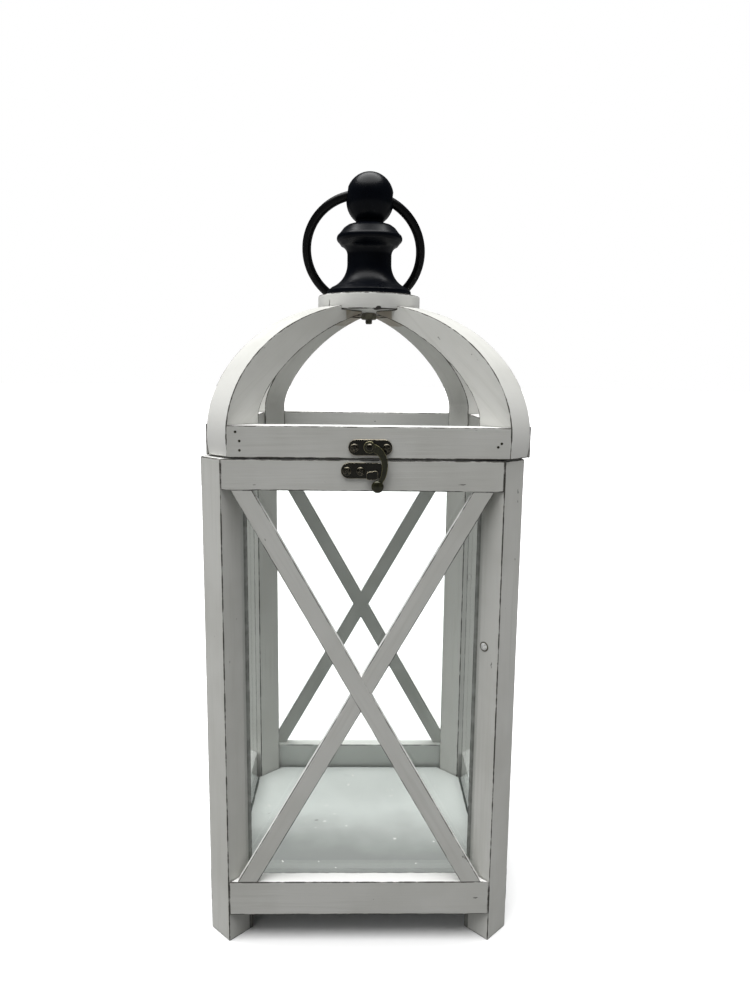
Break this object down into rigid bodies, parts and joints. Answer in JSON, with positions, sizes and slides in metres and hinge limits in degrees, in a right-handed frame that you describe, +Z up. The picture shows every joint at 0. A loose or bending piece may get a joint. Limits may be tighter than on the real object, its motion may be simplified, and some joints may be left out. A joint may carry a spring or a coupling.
{
  "type": "candle lantern",
  "caption": "Square wooden candle lantern with glazed sides, crossed braces, a hinged open dome lid with a hook latch, a turned finial and a carrying ring.",
  "frame": {"origin": "centre of the footprint, on the plane the feet stand on", "axes": "+Z up to the finial's top, -Y towards the latch side, +X to the right seen from the latch side"},
  "size_m": [0.2432, 0.2514, 0.61],
  "materials": {
    "white_paint": "white milk paint on wood, satin, rubbed through to dark at the edges",
    "black_lacquer": "near-black lacquer on turned wood, satin, with a slight navy tinge",
    "black_metal": "black satin paint on a bent steel rod",
    "bronze": "dark antique bronze, rubbed brighter on raised edges",
    "steel": "dull zinc-plated steel",
    "glass": "clear float glass with a faint green edge"
  },
  "bodies": {
    "body": {"post_front_right": "white_paint", "post_back_right": "white_paint", "post_back_left": "white_paint", "post_front_left": "white_paint", "bottom_rail_front": "white_paint", "bottom_rail_right": "white_paint", "bottom_rail_back": "white_paint", "bottom_rail_left": "white_paint", "top_rail_front": "white_paint", "top_rail_right": "white_paint", "top_rail_back": "white_paint", "top_rail_left": "white_paint", "brace_front_rising": "white_paint", "brace_front_falling": "white_paint", "brace_back_rising": "white_paint", "brace_back_falling": "white_paint", "base_board": "white_paint", "glass_front": "glass", "glass_right": "glass", "glass_back": "glass", "glass_left": "glass", "glass_screw_front_right": "steel", "glass_screw_back_right": "steel", "glass_screw_back_left": "steel", "glass_screw_front_left": "steel", "keeper_plate": "bronze", "keeper_screw_left": "bronze", "keeper_screw_right": "bronze", "hinge_left_body_leaf": "bronze", "hinge_left_body_screw_left": "bronze", "hinge_left_body_screw_right": "bronze", "hinge_right_body_leaf": "bronze", "hinge_right_body_screw_left": "bronze", "hinge_right_body_screw_right": "bronze"},
    "lid": {"lid_rail_front": "white_paint", "lid_rail_right": "white_paint", "lid_rail_back": "white_paint", "lid_rail_left": "white_paint", "rib_back_right": "white_paint", "rib_back_left": "white_paint", "rib_front_left": "white_paint", "rib_front_right": "white_paint", "top_disc": "white_paint", "finial": "black_lacquer", "finial_bolt": "steel", "finial_nut": "steel", "hook_plate": "bronze", "hook_plate_screw_left": "bronze", "hook_plate_screw_right": "bronze", "hook_rivet": "bronze", "hinge_left_lid_leaf": "bronze", "hinge_left_lid_screw_left": "bronze", "hinge_left_lid_screw_right": "bronze", "hinge_left_pin": "bronze", "hinge_right_lid_leaf": "bronze", "hinge_right_lid_screw_left": "bronze", "hinge_right_lid_screw_right": "bronze", "hinge_right_pin": "bronze"},
    "hook": {"latch_hook": "bronze"},
    "ring": {"carrying_ring": "black_metal"}
  },
  "joints": [
    {"name": "lid_hinge", "type": "hinge", "parent": "body", "child": "lid", "pos_m": [0, 0.1224, 0.385], "axis": [-1, 0, 0], "range_deg": [0, 105]},
    {"name": "hook_swing", "type": "hinge", "parent": "lid", "child": "hook", "pos_m": [0.0044, -0.1226, 0.3942], "axis": [0, -1, 0], "range_deg": [0, 105]},
    {"name": "ring_swing", "type": "hinge", "parent": "lid", "child": "ring", "pos_m": [0.0042, 0, 0.59], "axis": [0.9925, 0, -0.1219], "range_deg": [0, 300]}
  ]
}
